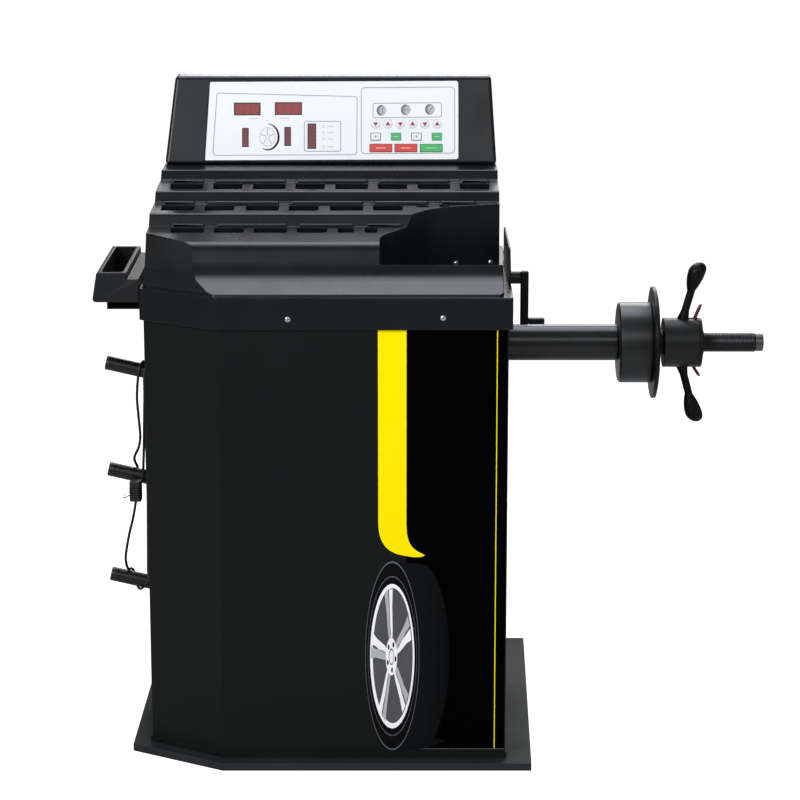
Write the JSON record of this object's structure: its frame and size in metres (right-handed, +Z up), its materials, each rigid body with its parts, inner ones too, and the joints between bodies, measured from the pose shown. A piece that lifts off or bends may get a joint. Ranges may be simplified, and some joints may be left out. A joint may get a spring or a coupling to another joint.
{
  "type": "wheel balancer machine",
  "caption": "Floor-standing wheel balancer: cabinet on a base pan, console above a stepped weight tray, side spindle with flange and quick nut, rim gauge, accessory tray and pegs.",
  "frame": {"origin": "on the floor, under the centre of the whole machine's box", "axes": "+Z up, +X along the spindle towards its threaded end, front and console facing -Y"},
  "size_m": [1.2282, 0.733, 1.2075],
  "materials": {
    "base_coat": "satin black powder coat, scuffed",
    "cabinet_coat": "satin black powder coat, fine orange peel",
    "cover_plastic": "moulded black plastic, fine grain, soft sheen",
    "trim_plastic": "moulded black plastic",
    "fascia_white": "white printed membrane panel",
    "window_red": "dark red display window",
    "key_red": "red membrane key",
    "key_green": "green membrane key",
    "key_white": "pale membrane key",
    "zinc": "bright zinc",
    "tube_coat": "satin black enamel on tube",
    "black_oxide": "black oxide over turned steel",
    "lever_red": "dark red enamel",
    "steel": "ground steel",
    "pulley_alloy": "turned alloy",
    "motor_coat": "dark grey enamel",
    "belt_rubber": "black belt rubber",
    "lead_rubber": "black flexible lead sheath"
  },
  "bodies": {
    "cabinet": {"base_pan": "base_coat", "cabinet_shell": "cabinet_coat", "rear_panel": "cabinet_coat", "spindle_pedestal": "cabinet_coat", "tray_bracket": "cabinet_coat", "top_cover": "cover_plastic", "console_head": "cover_plastic", "console_back": "cover_plastic", "accessory_tray": "trim_plastic", "gauge_bushing": "trim_plastic", "switch_frame": "trim_plastic", "cord_gland": "trim_plastic", "plug": "trim_plastic", "fascia_panel": "fascia_white", "display_left": "window_red", "display_right": "window_red", "bar_left": "window_red", "bar_right": "window_red", "bar_mode": "window_red", "cover_screw_left": "zinc", "cover_screw_right": "zinc", "tray_screw_left": "zinc", "tray_screw_right": "zinc", "spindle_housing": "tube_coat", "peg_top": "black_oxide", "peg_middle": "black_oxide", "peg_bottom": "black_oxide", "drive_motor": "motor_coat", "drive_belt": "belt_rubber", "power_cord": "lead_rubber"},
    "spindle": {"main_spindle": "steel", "drive_hub": "black_oxide", "wheel_flange": "black_oxide", "threaded_shaft": "black_oxide", "spindle_pulley": "pulley_alloy"},
    "motor_rotor": {"motor_pulley": "pulley_alloy"},
    "nut_carrier": {"pressure_ring": "black_oxide"},
    "quick_nut": {"nut_hub": "black_oxide", "nut_handle_upper": "black_oxide", "nut_handle_lower": "black_oxide"},
    "lever_upper": {"release_lever_upper": "lever_red"},
    "lever_lower": {"release_lever_lower": "lever_red"},
    "gauge_slider": {"gauge_rod": "tube_coat"},
    "gauge_swinger": {"gauge_arm": "tube_coat", "gauge_foot": "trim_plastic"},
    "rocker": {"switch_rocker": "key_red"},
    "key_arrow_1": {"key_arrow_1": "key_red"},
    "key_arrow_2": {"key_arrow_2": "key_red"},
    "key_arrow_3": {"key_arrow_3": "key_red"},
    "key_arrow_4": {"key_arrow_4": "key_red"},
    "key_arrow_5": {"key_arrow_5": "key_red"},
    "key_arrow_6": {"key_arrow_6": "key_red"},
    "key_small_1": {"key_small_1": "key_white"},
    "key_small_2": {"key_small_2": "key_green"},
    "key_small_3": {"key_small_3": "key_white"},
    "key_small_4": {"key_small_4": "key_green"},
    "key_large_1": {"key_large_1": "key_red"},
    "key_large_2": {"key_large_2": "key_red"},
    "key_large_3": {"key_large_3": "key_green"}
  },
  "joints": [
    {"name": "spindle_spin", "type": "hinge", "parent": "cabinet", "child": "spindle", "pos_m": [-0.1946, -0.07, 0.734], "axis": [1, 0, 0], "continuous": true},
    {"name": "motor_spin", "type": "hinge", "parent": "cabinet", "child": "motor_rotor", "pos_m": [-0.1946, -0.07, 0.44], "axis": [1, 0, 0], "continuous": true},
    {"name": "nut_slide", "type": "slide", "parent": "spindle", "child": "nut_carrier", "axis": [1, 0, 0], "range_m": [0, 0.11]},
    {"name": "nut_spin", "type": "hinge", "parent": "nut_carrier", "child": "quick_nut", "pos_m": [0.4654, -0.07, 0.734], "axis": [1, 0, 0], "continuous": true},
    {"name": "release_upper", "type": "hinge", "parent": "quick_nut", "child": "lever_upper", "pos_m": [0.4834, -0.07, 0.7735], "axis": [0, -1, 0], "range_deg": [0, 15], "stiffness_Nm_per_rad": 0.3},
    {"name": "release_lower", "type": "hinge", "parent": "quick_nut", "child": "lever_lower", "pos_m": [0.4834, -0.07, 0.6945], "axis": [0, 1, 0], "range_deg": [0, 15], "stiffness_Nm_per_rad": 0.3},
    {"name": "gauge_pull", "type": "slide", "parent": "cabinet", "child": "gauge_slider", "axis": [1, 0, 0], "range_m": [0, 0.24]},
    {"name": "gauge_swing", "type": "hinge", "parent": "gauge_slider", "child": "gauge_swinger", "pos_m": [0.1751, 0.0635, 0.832], "axis": [1, 0, 0], "range_deg": [0, 100]},
    {"name": "switch_rock", "type": "hinge", "parent": "cabinet", "child": "rocker", "pos_m": [0.0954, 0.196, 0.7], "axis": [1, 0, 0], "range_deg": [-10, 10]},
    {"name": "key_arrow_1_press", "type": "slide", "parent": "cabinet", "child": "key_arrow_1", "axis": [0, 0.9598, -0.2808], "range_m": [0, 0.0006], "stiffness_N_per_m": 400},
    {"name": "key_arrow_2_press", "type": "slide", "parent": "cabinet", "child": "key_arrow_2", "axis": [0, 0.9598, -0.2808], "range_m": [0, 0.0006], "stiffness_N_per_m": 400},
    {"name": "key_arrow_3_press", "type": "slide", "parent": "cabinet", "child": "key_arrow_3", "axis": [0, 0.9598, -0.2808], "range_m": [0, 0.0006], "stiffness_N_per_m": 400},
    {"name": "key_arrow_4_press", "type": "slide", "parent": "cabinet", "child": "key_arrow_4", "axis": [0, 0.9598, -0.2808], "range_m": [0, 0.0006], "stiffness_N_per_m": 400},
    {"name": "key_arrow_5_press", "type": "slide", "parent": "cabinet", "child": "key_arrow_5", "axis": [0, 0.9598, -0.2808], "range_m": [0, 0.0006], "stiffness_N_per_m": 400},
    {"name": "key_arrow_6_press", "type": "slide", "parent": "cabinet", "child": "key_arrow_6", "axis": [0, 0.9598, -0.2808], "range_m": [0, 0.0006], "stiffness_N_per_m": 400},
    {"name": "key_small_1_press", "type": "slide", "parent": "cabinet", "child": "key_small_1", "axis": [0, 0.9598, -0.2808], "range_m": [0, 0.0006], "stiffness_N_per_m": 400},
    {"name": "key_small_2_press", "type": "slide", "parent": "cabinet", "child": "key_small_2", "axis": [0, 0.9598, -0.2808], "range_m": [0, 0.0006], "stiffness_N_per_m": 400},
    {"name": "key_small_3_press", "type": "slide", "parent": "cabinet", "child": "key_small_3", "axis": [0, 0.9598, -0.2808], "range_m": [0, 0.0006], "stiffness_N_per_m": 400},
    {"name": "key_small_4_press", "type": "slide", "parent": "cabinet", "child": "key_small_4", "axis": [0, 0.9598, -0.2808], "range_m": [0, 0.0006], "stiffness_N_per_m": 400},
    {"name": "key_large_1_press", "type": "slide", "parent": "cabinet", "child": "key_large_1", "axis": [0, 0.9598, -0.2808], "range_m": [0, 0.0006], "stiffness_N_per_m": 400},
    {"name": "key_large_2_press", "type": "slide", "parent": "cabinet", "child": "key_large_2", "axis": [0, 0.9598, -0.2808], "range_m": [0, 0.0006], "stiffness_N_per_m": 400},
    {"name": "key_large_3_press", "type": "slide", "parent": "cabinet", "child": "key_large_3", "axis": [0, 0.9598, -0.2808], "range_m": [0, 0.0006], "stiffness_N_per_m": 400}
  ],
  "couplings": [
    {"joint": "motor_spin", "follows": "spindle_spin", "ratio": 3},
    {"joint": "release_lower", "follows": "release_upper", "ratio": 1}
  ]
}
